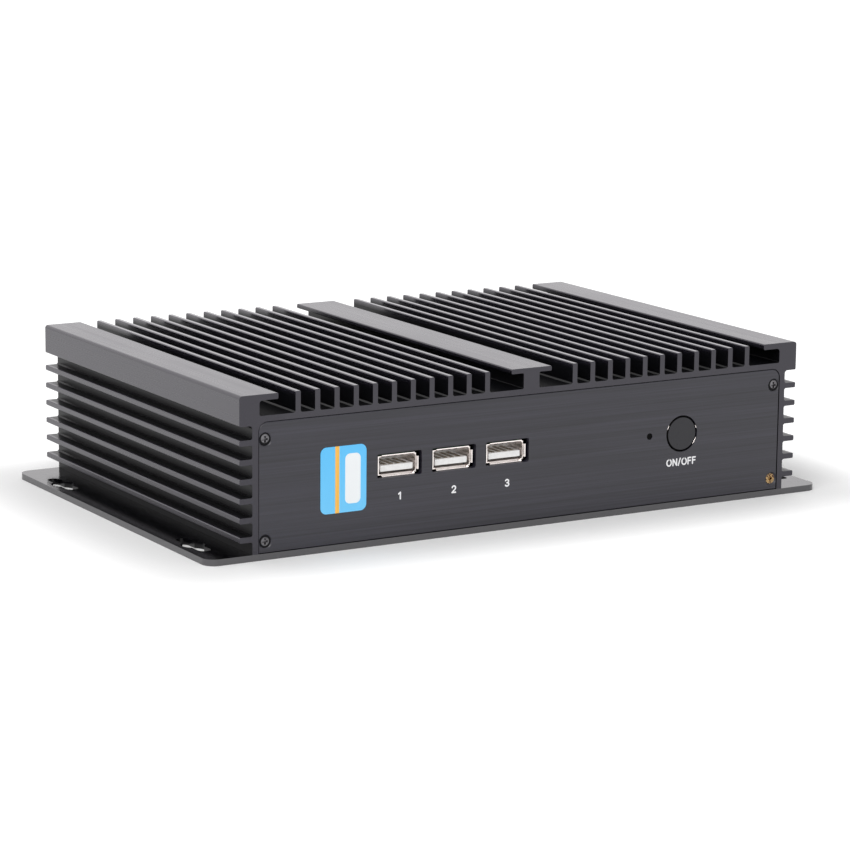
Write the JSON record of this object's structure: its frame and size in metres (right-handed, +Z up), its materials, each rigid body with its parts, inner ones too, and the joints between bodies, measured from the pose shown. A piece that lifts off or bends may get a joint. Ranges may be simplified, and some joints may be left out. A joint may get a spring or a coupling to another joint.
{
  "type": "fanless industrial pc",
  "caption": "Fanless industrial computer: a finned black aluminium case with mounting ears, front USB sockets, a power button that presses in, and network, serial and video ports behind.",
  "frame": {"origin": "centre of the base plate's underside", "axes": "+X to the right seen from the front, +Y to the rear, +Z up"},
  "size_m": [0.2206, 0.1432, 0.0497],
  "materials": {
    "black_anodised_aluminium": "black anodised, fine sawn end faces",
    "black_brushed_panel": "black anodised, finely brushed along the width",
    "black_painted_plate": "satin black",
    "label_face": "printed, smooth",
    "black_screw": "black oxide",
    "brass_screw": "yellow passivated",
    "button_plastic": "satin moulded",
    "nickel_steel": "nickel plated, bright",
    "gold_contact": "gold plated",
    "white_plastic": "moulded",
    "black_plastic": "moulded",
    "clear_plastic": "clear, polished end",
    "bright_pin": "nickel plated",
    "board_green": "solder mask",
    "chip_black": "moulded packages",
    "capacitor_can": "bright",
    "plain_aluminium": "milled",
    "brass_plain": "turned",
    "pad_grey": "soft"
  },
  "bodies": {
    "case": {"antenna_plug_1": "black_plastic", "antenna_plug_2": "black_plastic", "audio_jack_1": "black_plastic", "audio_jack_2": "black_plastic", "base_plate": "black_painted_plate", "base_plate_screws": "black_screw", "battery_holder": "black_plastic", "board_chips": "chip_black", "board_screws": "nickel_steel", "board_standoffs": "brass_plain", "capacitors": "capacitor_can", "chassis_extrusion": "black_anodised_aluminium", "coin_battery": "nickel_steel", "com_port_insulator": "black_plastic", "com_port_nuts": "nickel_steel", "com_port_pins": "gold_contact", "com_port_shell": "nickel_steel", "cpu_package": "chip_black", "dc_jack_body": "black_plastic", "dc_jack_pin": "bright_pin", "front_label": "label_face", "front_panel": "black_brushed_panel", "front_panel_brass_screw": "brass_screw", "front_panel_screws": "black_screw", "front_usb_contacts": "gold_contact", "front_usb_insulator_1": "white_plastic", "front_usb_insulator_2": "white_plastic", "front_usb_insulator_3": "white_plastic", "front_usb_shell_1": "nickel_steel", "front_usb_shell_2": "nickel_steel", "front_usb_shell_3": "nickel_steel", "hdmi_insulator": "black_plastic", "hdmi_shell": "nickel_steel", "heat_block": "plain_aluminium", "lan_contacts": "gold_contact", "lan_insert_1": "black_plastic", "lan_insert_2": "black_plastic", "lan_shield_1": "nickel_steel", "lan_shield_2": "nickel_steel", "led_light_pipe": "clear_plastic", "mainboard": "board_green", "memory_module": "board_green", "memory_socket": "black_plastic", "power_chokes": "chip_black", "power_led": "black_plastic", "power_switch": "black_plastic", "rear_panel": "black_brushed_panel", "rear_panel_screws": "black_screw", "rear_usb_contacts": "gold_contact", "rear_usb_insulator_1": "black_plastic", "rear_usb_insulator_2": "black_plastic", "rear_usb_shell_1": "nickel_steel", "rear_usb_shell_2": "nickel_steel", "storage_module": "board_green", "storage_screw": "nickel_steel", "storage_socket": "black_plastic", "storage_standoff": "nickel_steel", "thermal_pad": "pad_grey"},
    "power_button": {"power_button": "button_plastic", "switch_plunger": "button_plastic"}
  },
  "joints": [
    {"name": "power_button_press", "type": "slide", "parent": "case", "child": "power_button", "axis": [0, 1, 0], "range_m": [0, 0.0008], "stiffness_N_per_m": 2500, "springref_m": -0.0003}
  ]
}
